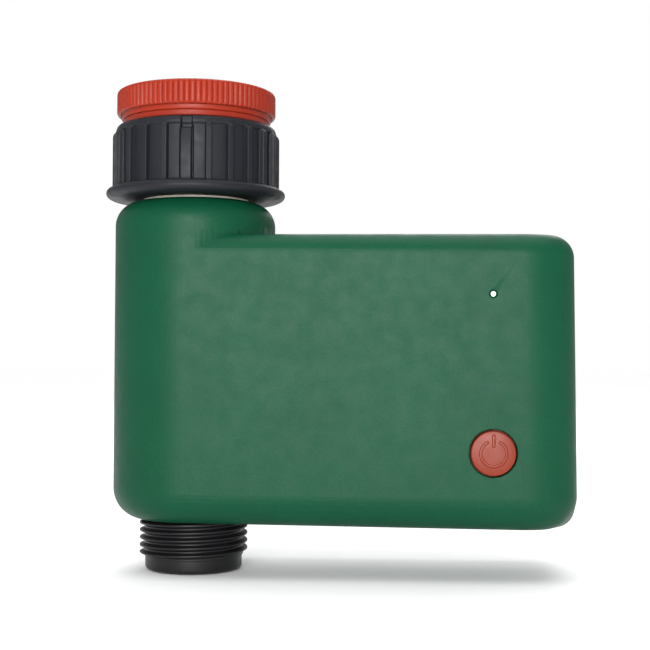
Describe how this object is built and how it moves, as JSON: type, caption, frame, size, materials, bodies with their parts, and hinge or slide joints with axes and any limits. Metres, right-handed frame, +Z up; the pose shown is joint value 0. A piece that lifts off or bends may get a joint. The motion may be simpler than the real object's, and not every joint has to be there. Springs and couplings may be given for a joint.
{
  "type": "drip irrigation timer",
  "caption": "Tap-mounted watering timer: round valve column with a swivel nut inlet and threaded outlet, side control box with power button, indicator light and battery bay.",
  "frame": {"origin": "centre of the inlet mouth, on the flow axis at the top face of the reducer ring", "axes": "+Z up along the flow axis towards the tap, +X towards the control box, +Y to the back, front at -Y"},
  "size_m": [0.1144, 0.0442, 0.1172],
  "materials": {
    "housing_green": "satin, fine moulded grain",
    "screw_steel": "zinc plated",
    "clear_plastic": "translucent",
    "valve_plastic": "moulded",
    "outlet_black": "satin",
    "black_rubber": "matte",
    "seat_white": "smooth",
    "spring_steel": "nickel plated",
    "filter_white": "moulded",
    "motor_metal": "plated",
    "lead_wire": "insulated",
    "board_green": "solder mask",
    "part_black": "moulded",
    "cell_wrap": "printed wrap",
    "nut_grey": "satin, fine moulded grain",
    "ring_orange": "satin",
    "button_orange": "satin",
    "ball_chrome": "chromed",
    "stem_brass": "turned",
    "gear_white": "acetal"
  },
  "bodies": {
    "housing": {"front_cover": "housing_green", "rear_cover": "housing_green", "cover_screws": "screw_steel", "light_pipe": "clear_plastic", "status_led": "clear_plastic", "valve_body": "valve_plastic", "outlet_spout": "outlet_black", "body_o_rings": "black_rubber", "flange_screws": "screw_steel", "seat_upper": "seat_white", "seat_lower": "seat_white", "nut_retaining_ring": "spring_steel", "inlet_filter": "filter_white", "inlet_washer": "black_rubber", "gear_motor": "motor_metal", "motor_screws": "screw_steel", "idler_axle": "screw_steel", "motor_leads": "lead_wire", "control_board": "board_green", "board_parts": "part_black", "board_screws": "screw_steel", "tact_switch": "part_black", "cell_1": "cell_wrap", "cell_2": "cell_wrap", "cell_3": "cell_wrap", "cell_4": "cell_wrap", "contact_plates": "spring_steel", "contact_springs": "spring_steel", "battery_leads": "lead_wire"},
    "nut": {"swivel_nut": "nut_grey"},
    "washer": {"reducer_washer": "black_rubber"},
    "reducer": {"reducer_ring": "ring_orange"},
    "valve": {"valve_ball": "ball_chrome", "valve_stem": "stem_brass", "stem_o_rings": "black_rubber", "output_gear": "gear_white", "stem_screw": "screw_steel"},
    "idler": {"idler_gear": "gear_white"},
    "pinion": {"motor_pinion": "stem_brass", "motor_shaft": "screw_steel"},
    "button": {"power_button": "button_orange"},
    "plunger": {"switch_plunger": "part_black"},
    "door": {"battery_door": "housing_green", "door_seal": "black_rubber"}
  },
  "joints": [
    {"name": "nut_swivel", "type": "hinge", "parent": "housing", "child": "nut", "pos_m": [0, 0, 0], "axis": [0, 0, 1], "continuous": true},
    {"name": "reducer_lift", "type": "slide", "parent": "nut", "child": "washer", "axis": [0, 0, 1], "range_m": [0, 0.00924]},
    {"name": "reducer_turn", "type": "hinge", "parent": "washer", "child": "reducer", "pos_m": [0, 0, 0], "axis": [0, 0, 1], "range_deg": [0, 1440]},
    {"name": "valve_turn", "type": "hinge", "parent": "housing", "child": "valve", "pos_m": [0, 0, -0.062], "axis": [1, 0, 0], "range_deg": [0, 90]},
    {"name": "idler_turn", "type": "hinge", "parent": "housing", "child": "idler", "pos_m": [0, -0.005, -0.08058], "axis": [1, 0, 0], "range_deg": [-270, 0]},
    {"name": "pinion_turn", "type": "hinge", "parent": "housing", "child": "pinion", "pos_m": [0, -0.0093, -0.09182], "axis": [1, 0, 0], "range_deg": [0, 810]},
    {"name": "button_press", "type": "slide", "parent": "housing", "child": "button", "axis": [0, 1, 0], "range_m": [0, 0.0006], "stiffness_N_per_m": 500, "springref_m": -0.002},
    {"name": "plunger_press", "type": "slide", "parent": "housing", "child": "plunger", "axis": [0, 1, 0], "range_m": [0, 0.0006]},
    {"name": "door_lift", "type": "slide", "parent": "housing", "child": "door", "axis": [0, 1, 0], "range_m": [0, 0.03]}
  ],
  "couplings": [
    {"joint": "reducer_lift", "follows": "reducer_turn", "m_per_rad": 0.00036749},
    {"joint": "idler_turn", "follows": "valve_turn", "ratio": -3},
    {"joint": "pinion_turn", "follows": "valve_turn", "ratio": 9},
    {"joint": "plunger_press", "follows": "button_press", "ratio": 1}
  ]
}
